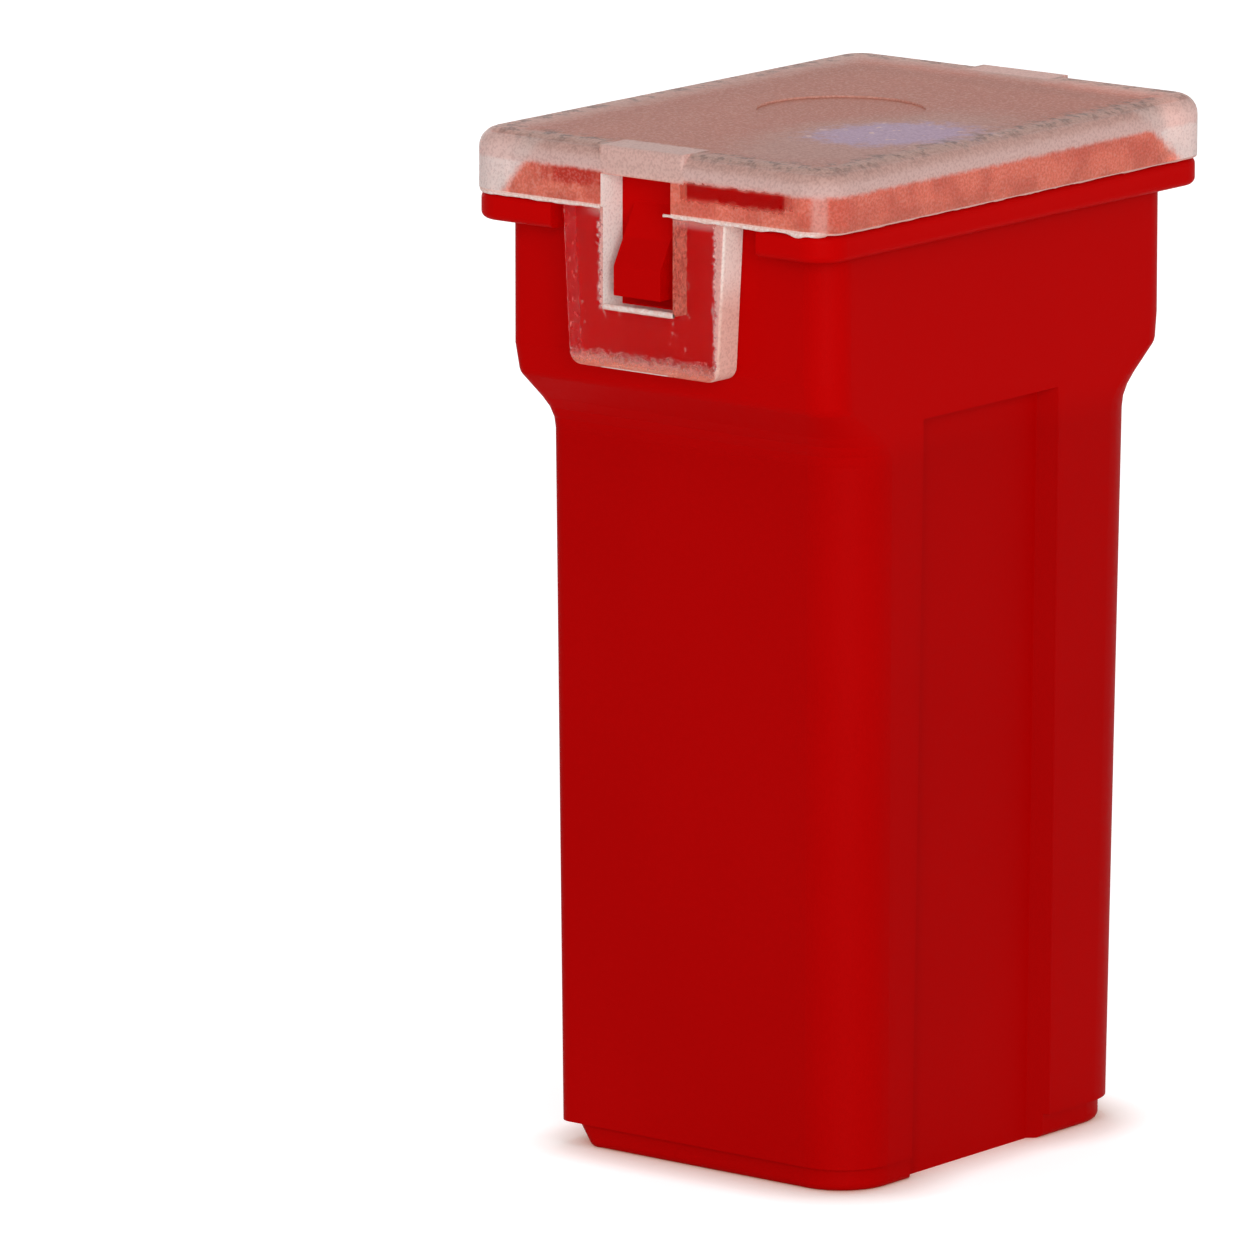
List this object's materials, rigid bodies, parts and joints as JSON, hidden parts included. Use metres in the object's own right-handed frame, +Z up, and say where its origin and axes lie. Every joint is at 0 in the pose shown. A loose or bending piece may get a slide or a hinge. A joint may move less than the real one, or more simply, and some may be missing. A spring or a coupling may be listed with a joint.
{
  "type": "automotive cartridge fuse",
  "caption": "Female cartridge fuse for vehicles: a tall red moulded housing with a flange at the top, and a clear window cover latched over its top.",
  "frame": {"origin": "under the middle of the flange, at the bottom face of the housing", "axes": "+Z up from the foot to the cover, X across the width between the two latch legs, -Y out of the grooved face"},
  "size_m": [0.0172, 0.0124, 0.0283],
  "materials": {
    "red_housing": "satin moulded polyamide, coloured right through",
    "clear_cover": "clear plastic with a fine frosted texture",
    "tinned_copper": "stamped and tin-plated copper alloy",
    "tin": "dull cast tin",
    "spring_steel": "rolled stainless strip"
  },
  "bodies": {
    "root": {"housing": "red_housing", "window_cover": "clear_cover", "fuse_element": "tinned_copper", "tin_rivet": "tin", "terminal_spring_left": "spring_steel", "terminal_spring_right": "spring_steel"}
  },
  "joints": []
}
